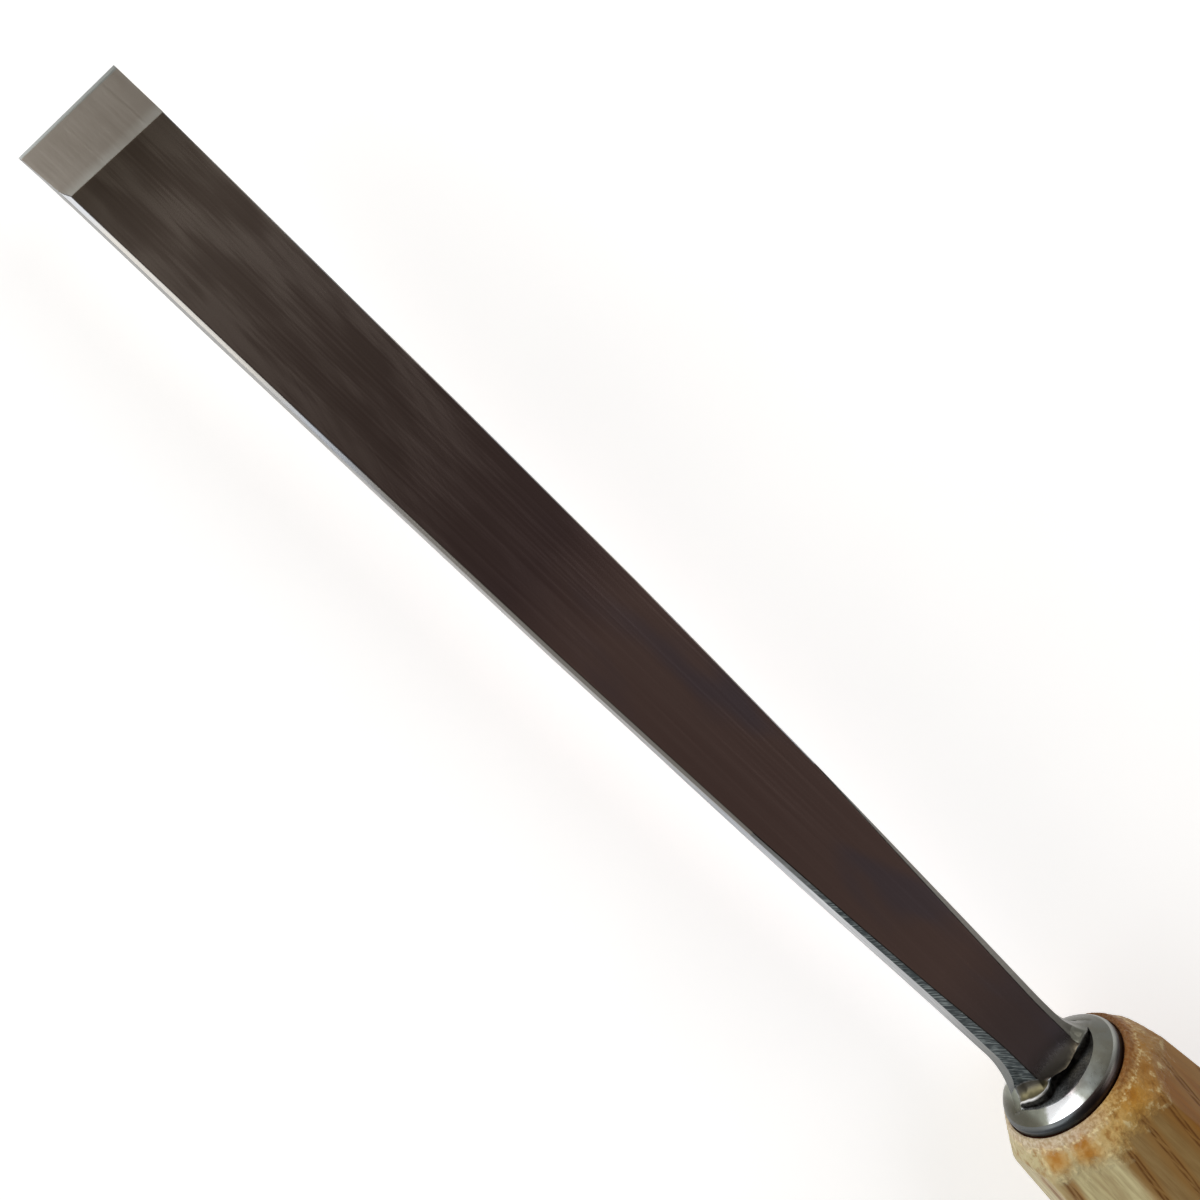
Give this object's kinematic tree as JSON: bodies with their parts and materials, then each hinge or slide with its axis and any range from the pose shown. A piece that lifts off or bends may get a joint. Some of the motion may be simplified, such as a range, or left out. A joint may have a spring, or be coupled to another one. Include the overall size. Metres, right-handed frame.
{
  "type": "carving chisel",
  "caption": "Straight wood carving chisel: flat polished steel blade with ground bevels, round forged collar and hidden tang, in a barrel-shaped octagonal ash handle.",
  "frame": {"origin": "on the tool's axis, where the collar seats on the front end of the handle", "axes": "+X along the axis to the cutting edge, +Z out of the upper face of the blade, +Y to the side with the wider eased corner"},
  "size_m": [0.277, 0.0264, 0.0264],
  "materials": {
    "blade_steel": "polished",
    "ring_steel": "satin",
    "ash_wood": "lacquered"
  },
  "bodies": {
    "root": {"blade": "blade_steel", "inner_ferrule": "ring_steel", "handle": "ash_wood"}
  },
  "joints": []
}
